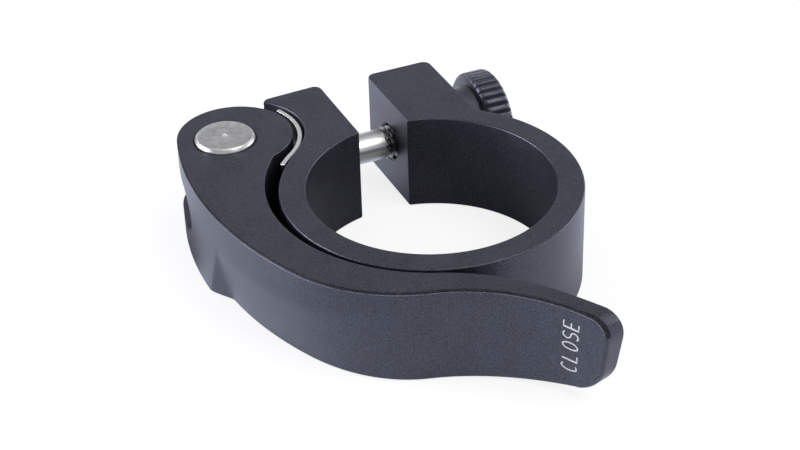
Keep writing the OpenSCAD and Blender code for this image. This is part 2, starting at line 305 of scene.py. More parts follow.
def collar_outline(bore_edge=0.32, ring_fillet=0.8):
    """Anticlockwise: bore, left ear, seat, ring, right ear."""
    seat_c = polar(pin_c, seat_offset, cam_angle)
    seat_dir = degrees(atan2(seat_c.y, seat_c.x))
    turn = degrees(acos((ring_r + seat_r) / seat_c.length))
    right_angle = degrees(acos(gap_right / bore_r))
    left_angle = degrees(acos(gap_left / bore_r))
    ring_end = degrees(acos(ear_right / ring_r))
    bore_arc = arc((0, 0), bore_r, right_angle, -180 - left_angle, 2.5)
    # The seat cuts into the round corner at the back of the left ear
    corner = Vector((ear_corner_r - ear_left, ear_back - ear_corner_r))
    seat_top = meeting_angle(seat_c, seat_r, corner, ear_corner_r)
    start = polar(seat_c, seat_r, seat_top) - corner
    corner_end = degrees(atan2(start.y, start.x)) % 360
    back = arc(corner, ear_corner_r, 90, corner_end, 12)
    seat = arc(seat_c, seat_r, seat_top, seat_dir + turn - 180, 3)[1:]
    ring = arc((0, 0), ring_r, seat_dir + turn, 360 + ring_end, 2.5)
    points = bore_arc[1:] + [Vector((-gap_left, ear_back + ear_skew))] + back + seat + ring
    points += [Vector((ear_right, ear_back)), Vector((gap_right, ear_back)), bore_arc[0]]
    first_ear = len(bore_arc) - 2
    after_ring = len(points) - 3
    radii = {first_ear: bore_edge, first_ear + 1: ear_corner_r, after_ring - 1: ring_fillet,
             after_ring: ear_corner_r, after_ring + 1: ear_corner_r, after_ring + 2: bore_edge}
    return filleted(points, radii)


def build_collar():
    """The split ring with its two ears, each with a countersunk hole for the rod."""
    edge, left_chamfer, right_chamfer = 0.26, 0.25, 0.3
    bm = extruded(collar_outline(), 0, height, edge)
    obj = make_object("collar_body", bm, "clamp", "collar")
    cut(obj, countersunk(-ear_left, -gap_left, hole_r, left_chamfer))
    cut(obj, countersunk(gap_right, ear_right, hole_r, right_chamfer))
    shade_again(obj)
    return obj


# Saddle


def build_saddle(end_r=0.25, edge=0.2):
    """The bent plate, whose flat faces carry a painted highlight and whose inner side a painted shade, as
    materials of their own.
    """
    centre = polar(pin_c, saddle_shift, saddle_lean)
    turn_back = degrees(atan2(centre.y, centre.x))
    lip_r = centre.length - saddle_r_out
    lip_turn = degrees(saddle_lip / (ring_r + saddle_t / 2))
    sides = []
    for r, lip in ((saddle_r_in, lip_r + saddle_t), (saddle_r_out, lip_r)):
        sides.append(arc(centre, r, saddle_top_angle, turn_back - 180, 3)
                     + arc((0, 0), lip, turn_back, turn_back + lip_turn, 2)[1:])
    inner, outer = sides
    outline = inner + list(reversed(outer))
    ends = {corner: end_r for corner in (0, len(inner) - 1, len(inner), len(outline) - 1)}
    bm = extruded(filleted(outline, ends, 4), saddle_low.z, saddle_high.z, edge)
    obj = make_object("saddle_plate", bm, "clamp", "saddle")
    cut(obj, countersunk(pin_c.x, 0, hole_r, 0.0))
    for face in obj.data.polygons:
        to_cam = Vector((cam_c.x, cam_c.y, 0)) - face.center / MM
        inside = face.normal.x * to_cam.x + face.normal.y * to_cam.y > 0
        # Flat faces take the painted highlight, and the inner wall the painted shade
        if abs(face.normal.z) > 0.6:
            face.material_index = 1
        elif inside:
            face.material_index = 2
    shade_again(obj)
    return obj


# Lever

# Arcs of the arm's outer side, as radii in ring radii and the angles at which one meets the next
outer_r1, outer_r2, outer_r3 = 2.585 * ring_r, 1.0283 * ring_r, 1.1604 * ring_r
outer_a0, outer_a1, outer_a2, outer_turn = 163.5, 204.8, 255.1, 44
outer_c1 = polar(cam_c, outer_r1 - cam_r, outer_a0 + 180)
outer_c2 = polar(outer_c1, outer_r1 - outer_r2, outer_a1)
outer_c3 = polar(outer_c2, outer_r2 + outer_r3, outer_a2)
tip_heading = outer_a2 + 90 - outer_turn
tip_dir = polar((0, 0), 1, tip_heading)

# The same for its inner side, whose first arc runs round the ring
arm_gap = 2.4
inner_r1, inner_r2 = ring_r + arm_gap, 1.4387 * ring_r
inner_a1, inner_a2 = 207, 246.25
inner_c1 = Vector((0.0519, 0.0708)) * ring_r
inner_c2 = polar(inner_c1, inner_r1 + inner_r2, inner_a2)
inner_a0 = meeting_angle(inner_c1, inner_r1, cam_c, cam_r)
inner_turn = inner_a2 + 90 - tip_heading

# The arm's end: its corners seen from the side, its rise and drop, and how its end leans and slants
tip_len, tip_r_low, tip_r_high, tip_a0 = 5.65, 4.7, 3.0, 13
tip_rise, tip_drop, tip_lean, end_slant = 3.2, 0.4, 0.16, 0.6
arm_run = outer_r3 * radians(outer_turn) + tip_len
lean_top = height * 0.74
lean_angle = degrees(atan2(tip_lean, 1))

# The finger hollow, the rounded edges and the slot for the rod
scoop_depth, scoop_depth_corner, scoop_depth_tip = 1.9, 0.95, 0.703
scoop_h, scoop_h_corner = height - 5.8, height - 2.5
scoop_a0, scoop_a1 = 182.3, 186.0
lever_edge, inner_edge, tip_edge = 0.36, 0.2, 0.6
slot_h, slot_angle = 7.4, 204


def corner_rise(r, d):
    """How far a corner of radius r, seen from the side, has closed at a distance d from the end."""
    return 0.0 if d >= r else r - sqrt(max(0.0, r * r - (r - d) ** 2))


def rise_at(s):
    """How far the underside has risen at a length s past the bend."""
    return tip_rise * (s / arm_run) ** 2.5


def drop_at(s):
    """How far the top has dropped at a length s past the bend."""
    return tip_drop * smooth(s / arm_run)


class Station:
    """One cross-section of the arm.

    The turns tell how far its underside and top have rolled over towards the arm's end, where the
    rounded edges step back from the end.
    """

    def __init__(self, outer, outer_angle, inner, inner_angle, low, crease, high, depth, edge,
                 low_turn=0.0, high_turn=0.0):
        self.outer, self.outer_angle = outer, outer_angle
        self.inner, self.inner_angle = inner, inner_angle
        self.low, self.crease, self.high = low, crease, high
        self.depth, self.edge = depth, edge
        self.low_turn, self.high_turn = radians(low_turn), radians(high_turn)


def beside_head(n=60):
    """Stations along the first outer arc, where the finger hollow opens."""
    for k in range(n + 1):
        f = k / n
        a = mix(outer_a0, outer_a1, f)
        ai = mix(inner_a0, inner_a1, f)
        opening = ramp(a, scoop_a0, scoop_a1)
        crease = max(1.0, scoop_h * opening) + ramp(a, scoop_a1, outer_a1)
        yield Station(polar(outer_c1, outer_r1, a), a, polar(inner_c1, inner_r1, ai), ai + 180,
                      0.0, crease, height, scoop_depth * opening, mix(inner_edge, lever_edge, smooth(f)))


def round_corner(n=24):
    """Stations round the arm's outer corner, where the hollow climbs."""
    for k in range(1, n + 1):
        f = k / n
        a = mix(outer_a1, outer_a2, f)
        ai = mix(inner_a1, inner_a2, f)
        yield Station(polar(outer_c2, outer_r2, a), a, polar(inner_c1, inner_r1, ai), ai + 180,
                      0.0, mix(scoop_h + 1, scoop_h_corner, f), height,
                      mix(scoop_depth, scoop_depth_corner, smooth(f)), lever_edge)


def before_tip(n=24):
    """Stations along the arm's last bend, where its underside rises."""
    for k in range(1, n + 1):
        f = k / n
        s = f * (arm_run - tip_len)
        a = outer_a2 - 180 - outer_turn * f
        ai = inner_a2 - 180 - inner_turn * f
        high = height - drop_at(s)
        yield Station(polar(outer_c3, outer_r3, a), a + 180, polar(inner_c2, inner_r2, ai), ai,
                      rise_at(s), mix(scoop_h_corner, high - 1, ramp(f, 0, 0.5)), high,
                      mix(scoop_depth_corner, scoop_depth_tip, f), lever_edge)


def tip(arm_end, corner_steps=12):
    """The straight end, whose underside turns up and leans out to the end."""
    tip_mid = rise_at(arm_run - 1.1 * tip_r_low) + tip_r_low * cos(radians(tip_a0))
    lows = []
    for k in range(corner_steps + 1):
        a = mix(tip_a0, 90, k / corner_steps)
        z = tip_mid - tip_r_low * cos(radians(a))
        d = tip_lean * (lean_top - z) + tip_r_low * (1 - sin(radians(a)))
        lows.append((z, d, a * (1 - lean_angle / 90)))
    last_d = lows[-1][1]
    for f in (0.8, 0.6, 0.42, 0.26, 0.13, 0.04):
        lows.append((lean_top - last_d * f / tip_lean, last_d * f, 90 - lean_angle))
    lows.append((height - tip_drop - tip_r_high, 0.0, 90))
    inner_len = tip_len + (arm_end.outer - arm_end.inner).dot(tip_dir)
    for low, d, turn in lows:
        high = height - drop_at(arm_run - d) - corner_rise(tip_r_high, d)
        high_turn = degrees(asin(max(0.0, 1 - d / tip_r_high)))
        edge = mix(lever_edge, tip_edge, ramp(d, tip_len, last_d))
        outer_d = d + end_slant * (1 - d / tip_len)
        yield Station(arm_end.outer + tip_dir * (tip_len - outer_d), arm_end.outer_angle,
                      arm_end.inner + tip_dir * (inner_len - d), arm_end.inner_angle, low,
                      max(mix(low, high, 0.5), high - 1), high,
                      scoop_depth_tip * ramp(high - low, 0, height), edge, turn, high_turn)


def side_profile(low, crease, high, depth, edge, low_turn=0.0, high_turn=0.0):
    """(inset, z, step back from the end) from the underside up.

    A rounded edge, the hollow, a soft crease, an upright band and a rounded edge follow each other.
    """
    points = [(depth + i, low + d * cos(low_turn), d * sin(low_turn)) for i, d in edge_steps(edge)]
    base = low + edge * cos(low_turn)
    top = high - edge * cos(high_turn)
    low_back, high_back = edge * sin(low_turn), edge * sin(high_turn)
    soft = min(0.9, (crease - base) * 0.45, max(0.05, (top - crease) * 0.8))
    slope = depth / max(0.1, crease - base)
    for k in range(1, 15):
        z = mix(base, crease + soft, k / 14)
        x = crease - z
        run = x if x > soft else (x + soft) ** 2 / (4 * max(0.01, soft))
        points.append((slope * run, z, mix(low_back, high_back, ramp(z, base, top + 0.001))))
    for f in (0.34, 0.67):
        z = mix(crease + soft, top, f)
        points.append((0.0, z, mix(low_back, high_back, ramp(z, base, top + 0.001))))
    points += [(i, high - d * cos(high_turn), d * sin(high_turn)) for i, d in reversed(edge_steps(edge))]
    return points


def lever_columns(stations, head_steps=80):
    """(point, direction out, side profile) right round the lever, beginning at the head's outer side."""
    columns = []
    for s in stations:
        profile = side_profile(s.low, s.crease, s.high, s.depth, s.edge, s.low_turn, s.high_turn)
        columns.append((s.outer, s.outer_angle, profile))
    for s in reversed(stations):
        profile = side_profile(s.low, s.crease, s.high, 0.0, inner_edge, s.low_turn, s.high_turn)
        columns.append((s.inner, s.inner_angle, profile))
    head_a0 = degrees(atan2(stations[0].inner.y - cam_c.y, stations[0].inner.x - cam_c.x))
    for k in range(1, head_steps):
        a = mix(head_a0, outer_a0, k / head_steps)
        columns.append((polar(cam_c, cam_r, a), a, side_profile(0.0, 1.0, height, 0.0, inner_edge)))
    return columns


def lever_mesh(stations):
    """The lever before its cuts. Index 1 marks the rounded edge above the outer side, for a painted shade,
    and 2 its rim, for a painted highlight.
    """
    bm = bmesh.new()
    grid = []
    for point, angle, profile in lever_columns(stations):
        n = polar((0, 0), 1, angle)
        column = []
        for inset, z, back in profile:
            place = point - n * inset - tip_dir * back
            column.append(bm.verts.new((place.x, place.y, z)))
        grid.append(column)
    total, rows = len(grid), len(grid[0])
    end = len(stations) - 1
    rim = rows - len(edge_steps(lever_edge))
    for i in [i for i in range(total) if i != end]:
        j = (i + 1) % total
        for r in range(rows - 1):
            face = bm.faces.new((grid[i][r], grid[i][r + 1], grid[j][r + 1], grid[j][r]))
            # The edge rows take the painted shade, and the rim row the painted highlight
            if i < end - 1 and r >= rim + max(0, i + 4 - end):
                face.material_index = 2 if r == rim else 1
    for k in range(end):
        i = 2 * end + 1 - k
        bm.faces.new((grid[k][0], grid[k + 1][0], grid[i - 1][0], grid[i][0]))
        bm.faces.new((grid[k][-1], grid[i][-1], grid[i - 1][-1], grid[k + 1][-1]))
    bm.faces.new([grid[0][0]] + [grid[i][0] for i in range(2 * end + 1, total)])
    bm.faces.new([grid[i][-1] for i in range(total - 1, 2 * end, -1)] + [grid[0][-1]])
    # The end's underside and top meet in one line
    bmesh.ops.remove_doubles(bm, verts=grid[end] + grid[end + 1], dist=0.002)
    bmesh.ops.recalc_face_normals(bm, faces=bm.faces)
    return bm


def build_lever(materials):
    """The lever and the station at which its last bend ends. The cuts need the materials in place."""
    smooth_angle, pin_clear, over = 32, 0.1, 1
    stations = list(beside_head()) + list(round_corner()) + list(before_tip())
    lever_end = stations[-1]
    stations += list(tip(lever_end))
    obj = make_object("lever_arm", lever_mesh(stations), "lever", "lever", smooth_angle)
    for material in materials:
        obj.data.materials.append(material)
    cut(obj, upright_cylinder(pin_c, pin_r + pin_clear, -over, height + over))
    cut(obj, pin_countersink())
    cut(obj, slot_sector())
    cut(obj, slot_end(0))
    cut(obj, slot_end(slot_angle))
    shade_again(obj, smooth_angle)
    return obj, lever_end


def pin_countersink(segments=96):
    """Cone that breaks the edge of the pin's hole in the head's top."""
    bm = bmesh.new()
    loops = []
    for r, z in ((pin_r + 0.05, height - 0.3), (pin_r + 0.4, height + 0.05)):
        loops.append([(*polar(pin_c, r, 360 * k / segments), z) for k in range(segments)])
    loft(bm, loops)
    return bm


def upright_cylinder(centre, r, z0, z1, segments=96):
    """A plain cutter along Z."""
    bm = bmesh.new()
    ring = [polar(centre, r, 360 * k / segments) for k in range(segments)]
    loft(bm, [[(p.x, p.y, z) for p in ring] for z in (z0, z1)])
    return bm


def slot_sector():
    """The part of the slot that the rod swings through, a little lower than its round ends."""
    reach = 2 * cam_r
    outline = [pin_c] + arc(pin_c, reach, 0, slot_angle, 4)
    half = slot_h / 2 - 0.03
    bm = bmesh.new()
    loft(bm, [[(p.x, p.y, z) for p in outline] for z in (mid_z - half, mid_z + half)])
    return bm


def slot_end(angle, segments=64):
    """The round end that the milling cutter leaves, pointing out from the pin."""
    along = polar((0, 0), 1, angle)
    across = polar((0, 0), 1, angle + 90)
    bm = bmesh.new()
    loops = []
    for d in (0.001, 2 * cam_r):
        base = pin_c + along * d
        loops.append([(base.x + across.x * slot_h / 2 * cos(2 * pi * k / segments),
                       base.y + across.y * slot_h / 2 * cos(2 * pi * k / segments),
                       mid_z + slot_h / 2 * sin(2 * pi * k / segments)) for k in range(segments)])
    loft(bm, loops)
    return bm


# Barrel pin, rod and nut


def build_pin():
    """Turned pin: rounded rims with a fine groove, and a shallow turning centre."""
    dimple = 0.4
    rim = [(0.5, 0.0), (0.42, 0.03), (0.31, 0.1), (0.27, 0.15), (0.3, 0.25), (0.15, 0.27), (0.07, 0.38),
           (0.02, 0.5), (0.0, 0.64)]
    top, low = pin_high.z, pin_low.z
    profile = [(0.0, low)] + [(pin_r - inset, low + depth) for inset, depth in rim]
    profile += [(pin_r - inset, top - depth) for inset, depth in reversed(rim)]
    profile += [(dimple + 0.08, top), (dimple, top - 0.03), (0.0, top - dimple * 0.8)]
    segments = 128
    bm = bmesh.new()
    rows = []
    for r, z in profile[1:-1]:
        rows.append([bm.verts.new((*polar(pin_c, r, 360 * k / segments), z)) for k in range(segments)])
    for a, b in zip(rows, rows[1:]):
        for k in range(segments):
            j = (k + 1) % segments
            bm.faces.new((a[k], a[j], b[j], b[k]))
    for row, z, flip in ((rows[0], low, True), (rows[-1], profile[-1][1], False)):
        centre = bm.verts.new((pin_c.x, pin_c.y, z))
        for k in range(segments):
            j = (k + 1) % segments
            face = (row[k], row[j], centre)
            face = bm.faces.new(tuple(reversed(face)) if flip else face)
            # The turning centre in the upper end gets a painted highlight
            face.material_index = 0 if flip else 1
    return make_object("barrel_pin_turned", bm, "rod", "barrel_pin", smooth_angle=24)


def thread_depth(phase):
    """Depth of the thread's groove, from 0 at the crest to 1 at the root."""
    phase = phase % 1.0
    flat = 0.12
    if phase < flat:
        return 0.0
    f = (phase - flat) / (1 - flat)
    return smooth(1 - abs(2 * f - 1)) ** 0.8


def threaded_profile(x0, x1, r, step=0.1):
    """A straight profile with steps fine enough for the thread's turns."""
    n = ceil((x1 - x0) / step)
    return [(mix(x0, x1, k / n), r) for k in range(n + 1)]


def build_rod():
    """M5 rod: bright shank, with a rolled thread at the nut and in the barrel pin."""
    root, chamfer, end_r = 0.49, 0.5, 0.4
    x0, x1 = rod_low.x, rod_high.x
    pin_thread_end = pin_c.x + pin_r + 0.5

    def radius_at(x, a):
        if x >= thread_x:
            fade = ramp(x, thread_x, thread_x + 0.5)
        else:
            fade = ramp(x, pin_thread_end, pin_thread_end - 0.4)
        depth = root * thread_depth(x / pitch - a / (2 * pi))
        end = max(0.0, chamfer - (x - x0), chamfer - (x1 - x))
        full = mix(shank_r, rod_r, fade)
        return min(full - depth * fade, rod_r - end)

    profile = [(x0, end_r), (x0, rod_r - chamfer)] + threaded_profile(x0 + 0.02, pin_thread_end, rod_r)
    profile += [(pin_thread_end + 0.02, shank_r), (thread_x - 0.02, shank_r)]
    profile += threaded_profile(thread_x, x1 - 0.02, rod_r) + [(x1, rod_r - chamfer), (x1, end_r)]
    bm = lathe(profile, 72, lambda x, r, a: radius_at(x, a) if r == rod_r else r)
    bmesh.ops.recalc_face_normals(bm, faces=bm.faces)
    # The thread takes the darker steel, a painted shade
    for face in bm.faces:
        face.material_index = int(face.calc_center_median().x > thread_x)
    return make_object("rod_threaded", bm, "rod", "rod", smooth_angle=40)


def build_nut():
    """Shoulder, then a disc with a coarse straight knurl and chamfered rims."""
    x0 = nut_low.x
    disc = x0 + shoulder_len
    x1 = nut_high.x
    chamfer, depth, soft, rim_drop = 0.5, 0.6, 0.12, 0.12
    flat = 0.42
    segments = knurl_count * 10

    def radius_at(x, r, a):
        if r <= nut_r - chamfer + 0.01:
            return r
        phase = (a * knurl_count / (2 * pi)) % 1.0
        f = abs(2 * phase - 1)
        groove = depth * smooth(ramp(1 - f, flat, 1.0))
        return min(r, nut_r - groove)

    hole = rod_r + 0.05
    rim_r, face_r, cone_r = nut_r - chamfer - 0.05, nut_r - chamfer - 0.2, nut_r - chamfer * 0.65
    # The bore's mouth and the shoulder
    profile = [(x0 + 0.3, hole), (x0, hole + 0.3), (x0, shoulder_r - 0.35), (x0 + 0.1, shoulder_r - 0.1),
               (x0 + 0.35, shoulder_r), (disc - 0.25, shoulder_r), (disc - 0.02, shoulder_r + 0.15)]
    # The disc's face, its knurled rim between two chamfers, and the outer end
    profile += [(disc, shoulder_r + 0.35), (disc, face_r), (disc + 0.04, rim_r),
                (disc + soft + 0.1, cone_r), (disc + chamfer * 0.8, nut_r - rim_drop),
                (disc + chamfer + 0.15, nut_r), (x1 - chamfer - 0.15, nut_r),
                (x1 - chamfer * 0.8, nut_r - rim_drop), (x1 - soft - 0.1, cone_r),
                (x1 - 0.04, rim_r), (x1, face_r), (x1, hole + 0.45), (x1 - 0.45, hole)]
    bm = lathe(profile, segments, radius_at)
    bmesh.ops.delete(bm, geom=[f for f in bm.faces if len(f.verts) > 4], context="FACES_ONLY")
    # The bore joins the first row to the last
    bm.verts.ensure_lookup_table()
    first, last = bm.verts[:segments], bm.verts[-segments:]
    for k in range(segments):
        j = (k + 1) % segments
        bm.faces.new((last[k], last[j], first[j], first[k]))
    bmesh.ops.recalc_face_normals(bm, faces=bm.faces)
    return make_object("nut_knurled", bm, "nut", "nut", smooth_angle=35)


# The word on the tip


def letter_strokes(w):
    """Plain upright letters, w wide and one unit high: lists of points, u across and v up."""
    def ring(cx, cy, rx, ry, a0, a1, n=14):
        return [(cx + rx * cos(radians(mix(a0, a1, k / n))), cy + ry * sin(radians(mix(a0, a1, k / n))))
                for k in range(n + 1)]

    upper = ring(w / 2, 0.75, w / 2, 0.25, 40, 270, 12)
    lower = ring(w / 2, 0.25, w / 2, 0.25, 90, -140, 12)
    return {
        "C": [ring(w / 2, 0.5, w / 2, 0.5, 52, 308, 20)],
        "L": [[(0, 1), (0, 0), (w * 0.85, 0)]],
        "O": [ring(w / 2, 0.5, w / 2, 0.5, 0, 360, 28)],
        "S": [upper + lower[1:]],
        "E": [[(w * 0.9, 1), (0, 1), (0, 0), (w * 0.9, 0)], [(0, 0.5), (w * 0.8, 0.5)]],
    }


def ribbon(bm, points, width, place, closed=False):
    """A thin raised stroke along points (u, v) on a curved face, whose 3-D points place gives."""
    n = len(points)
    rows = []
    for i, (u, v) in enumerate(points):
        before = points[i - 1] if i or closed else points[0]
        after = points[(i + 1) % n] if i < n - 1 or closed else points[-1]
        du, dv = after[0] - before[0], after[1] - before[1]
        size = max(1e-9, hypot(du, dv))
        # A mitre, so that the stroke keeps its width round a corner
        turn = 1.0
        if 0 < i < n - 1:
            a = Vector((u - points[i - 1][0], v - points[i - 1][1])).normalized()
            b = Vector((points[i + 1][0] - u, points[i + 1][1] - v)).normalized()
            turn = max(0.6, sqrt(max(0.0, (1 + a.dot(b)) / 2)))
        nu, nv = -dv / size * width / 2 / turn, du / size * width / 2 / turn
        rows.append([bm.verts.new(place(u + nu * side, v + nv * side, out))
                     for side, out in ((-1, -0.02), (-1, ink_proud), (1, ink_proud), (1, -0.02))])
    count = n if closed else n - 1
    for i in range(count):
        a, b = rows[i], rows[(i + 1) % n]
        for k in range(3):
            bm.faces.new((a[k], b[k], b[k + 1], a[k + 1]))
    if not closed:
        bm.faces.new(rows[0])
        bm.faces.new(list(reversed(rows[-1])))


# The word's place, measured from the tip and from the underside, and how it leans
word_v0 = 5.4
word_z0 = 4.25
word_lean = 0.057

# Its letters, and how far the ink stands out
letter_w = 1.08
letter_h = 2.18
letter_slant = 0.09
letter_pitch = 1.75
stroke = 0.2
ink_proud = 0.025


def on_outer_face(lever, lever_end):
    """Gives a function from height, distance towards the head and rise to a point on the arm's face."""
    points = [vertex.co for vertex in lever.data.vertices]
    tree = BVHTree.FromPolygons(points, [face.vertices for face in lever.data.polygons])

    def place(z, up, out):
        d = word_v0 + up - word_lean * (z - word_z0)
        z += letter_slant * up
        if d < tip_len:
            p, angle = lever_end.outer + tip_dir * (tip_len - d), lever_end.outer_angle
        else:
            a = outer_a2 - 180 - outer_turn * (arm_run - d) / (arm_run - tip_len)
            p, angle = polar(outer_c3, outer_r3, a), a + 180
        n = polar((0, 0), 1, angle).to_3d()
        start = (Vector((p.x, p.y, z)) + n * 3) * MM
        hit = tree.ray_cast(start, -n)[0] / MM
        return hit + n * out
    return place


def build_word(lever, lever_end):
    """The word on the tip, in thin plain strokes, read from the underside up."""
    place = on_outer_face(lever, lever_end)
    bm = bmesh.new()
    drawn_w = 0.46
    strokes = letter_strokes(drawn_w)
    for k, letter in enumerate("CLOSE"):
        z0 = word_z0 + k * letter_pitch
        for points in strokes[letter]:
            shown = [(z0 + u * letter_w / drawn_w, v * letter_h) for u, v in points]
            closed = letter == "O"
            ribbon(bm, shown[:-1] if closed else shown, stroke, place, closed)
    bmesh.ops.recalc_face_normals(bm, faces=bm.faces)
    obj = make_object("tip_word", bm, "lever", None, smooth_angle=40)
    return obj


# Materials


def new_material(name):
    """A material with its nodes, links and shader at hand."""
    material = bpy.data.materials.new(name)
    material.use_nodes = True
    nodes = material.node_tree.nodes
    return material, nodes, material.node_tree.links, nodes["Principled BSDF"]


def noise(nodes, links, vector, scale, detail=2.0, roughness=0.5):
    node = nodes.new("ShaderNodeTexNoise")
    node.inputs["Scale"].default_value = scale
    node.inputs["Detail"].default_value = detail
    node.inputs["Roughness"].default_value = roughness
    links.new(vector, node.inputs["Vector"])
    return node.outputs["Fac"]


def mapped(nodes, links, value, low, high, from_low=0.3, from_high=0.7):
    """Spreads a value over a range. The defaults fit what a noise gives."""
    node = nodes.new("ShaderNodeMapRange")
    node.inputs["From Min"].default_value = from_low
    node.inputs["From Max"].default_value = from_high
    node.inputs["To Min"].default_value = low
    node.inputs["To Max"].default_value = high
    links.new(value, node.inputs["Value"])
    return node.outputs["Result"]


def tint(nodes, links, factor, dark, light):
    """A colour between two colours."""
    node = nodes.new("ShaderNodeMix")
    node.data_type = "RGBA"
    node.inputs["A"].default_value = (*dark, 1)
    node.inputs["B"].default_value = (*light, 1)
    links.new(factor, node.inputs["Factor"])
    return node.outputs["Result"]


def bumped(nodes, links, relief, strength, distance, shader):
    node = nodes.new("ShaderNodeBump")
    node.inputs["Strength"].default_value = strength
    node.inputs["Distance"].default_value = distance
    links.new(relief, node.inputs["Height"])
    links.new(node.outputs["Normal"], shader.inputs["Normal"])


def anodised(name, dark, light, rough=0.4, shine=(0.15, 0.85), coat=0.4):
    """Bead-blasted, dyed aluminium under a sealed film: speckle in colour and shine, and a fine bump."""
    material, nodes, links, shader = new_material(name)
    place = nodes.new("ShaderNodeTexCoord").outputs["Object"]
    grain = noise(nodes, links, place, 6115, 2, 0.6)
    cloud = noise(nodes, links, place, 160, 2)
    speckle = nodes.new("ShaderNodeMath")
    speckle.operation = "MULTIPLY_ADD"
    speckle.inputs[1].default_value = 0.7
    links.new(grain, speckle.inputs[0])
    links.new(mapped(nodes, links, cloud, 0.0, 0.3), speckle.inputs[2])
    factor = mapped(nodes, links, speckle.outputs[0], 0, 1, 0.25, 0.8)
    links.new(tint(nodes, links, factor, dark, light), shader.inputs["Base Color"])
    links.new(mapped(nodes, links, grain, rough - 0.08, rough + 0.1), shader.inputs["Roughness"])
    links.new(mapped(nodes, links, grain, *shine), shader.inputs["Specular IOR Level"])
    shader.inputs["IOR"].default_value = 1.65
    shader.inputs["Specular Tint"].default_value = (0.78, 0.82, 1.0, 1)
    shader.inputs["Coat Weight"].default_value = coat
    shader.inputs["Coat Roughness"].default_value = 0.3
    shader.inputs["Coat Tint"].default_value = (0.9, 0.92, 1.0, 1)
    bumped(nodes, links, grain, 0.6, 0.00008, shader)
    return material


def bright_steel(name, dark, light, rough, brushed):
    """Polished steel with faint drawing marks."""
    material, nodes, links, shader = new_material(name)
    place = nodes.new("ShaderNodeTexCoord").outputs["Object"]
    stretch = nodes.new("ShaderNodeMapping")
    stretch.inputs["Scale"].default_value = brushed
    links.new(place, stretch.inputs["Vector"])
    marks = noise(nodes, links, stretch.outputs["Vector"], 1.0, 4, 0.6)
    colour = tint(nodes, links, mapped(nodes, links, marks, 0, 1), dark, light)
    links.new(colour, shader.inputs["Base Color"])
    links.new(mapped(nodes, links, marks, rough - 0.04, rough + 0.07), shader.inputs["Roughness"])
    shader.inputs["Metallic"].default_value = 1.0
    bumped(nodes, links, marks, 0.12, 0.00003, shader)
    return material


def turned_steel(name):
    """The pin's end, with the lathe's rings and a satin sheen."""
    material, nodes, links, shader = new_material(name)
    place = nodes.new("ShaderNodeTexCoord").outputs["Object"]
    offset = nodes.new("ShaderNodeVectorMath")
    offset.operation = "SUBTRACT"
    offset.inputs[1].default_value = (pin_c.x * MM, pin_c.y * MM, 0)
    links.new(place, offset.inputs[0])
    flat = nodes.new("ShaderNodeVectorMath")
    flat.operation = "MULTIPLY"
    flat.inputs[1].default_value = (1, 1, 0)
    links.new(offset.outputs[0], flat.inputs[0])
    distance = nodes.new("ShaderNodeVectorMath")
    distance.operation = "LENGTH"
    links.new(flat.outputs[0], distance.inputs[0])
    rings = nodes.new("ShaderNodeTexNoise")
    rings.noise_dimensions = "1D"
    rings.inputs["Scale"].default_value = 5200
    rings.inputs["Detail"].default_value = 3
    links.new(distance.outputs["Value"], rings.inputs["W"])
    stains = noise(nodes, links, place, 900, 3)
    mixed = nodes.new("ShaderNodeMath")
    mixed.operation = "MULTIPLY_ADD"
    mixed.inputs[1].default_value = 0.6
    links.new(rings.outputs["Fac"], mixed.inputs[0])
    links.new(mapped(nodes, links, stains, 0.0, 0.4), mixed.inputs[2])
    factor = mapped(nodes, links, mixed.outputs[0], 0, 1, 0.25, 0.75)
    colour = tint(nodes, links, factor, (0.56, 0.55, 0.535), (0.86, 0.85, 0.83))
    links.new(colour, shader.inputs["Base Color"])
    links.new(mapped(nodes, links, rings.outputs["Fac"], 0.3, 0.44), shader.inputs["Roughness"])
    shader.inputs["Metallic"].default_value = 1.0
    bumped(nodes, links, rings.outputs["Fac"], 0.3, 0.00005, shader)
    return material


def paint(name, colour):
    """Screen-printed ink, a little uneven."""
    material, nodes, links, shader = new_material(name)
    place = nodes.new("ShaderNodeTexCoord").outputs["Object"]
    patch = noise(nodes, links, place, 4000, 2)
    dark = tuple(c * 0.9 for c in colour)
    uneven = tint(nodes, links, mapped(nodes, links, patch, 0, 1), dark, colour)
    links.new(uneven, shader.inputs["Base Color"])
    shader.inputs["Roughness"].default_value = 0.5
    return material


# Stage


def greater(nodes, links, a, b):
    """The larger of two values."""
    node = nodes.new("ShaderNodeMath")
    node.operation = "MAXIMUM"
    links.new(a, node.inputs[0])
    links.new(b, node.inputs[1])
    return node.outputs[0]


def times(nodes, links, a, b):
    """A value times another value or a plain number."""
    node = nodes.new("ShaderNodeMath")
    node.operation = "MULTIPLY"
    links.new(a, node.inputs[0])
    if isinstance(b, float):
        node.inputs[1].default_value = b
    else:
        links.new(b, node.inputs[1])
    return node.outputs[0]


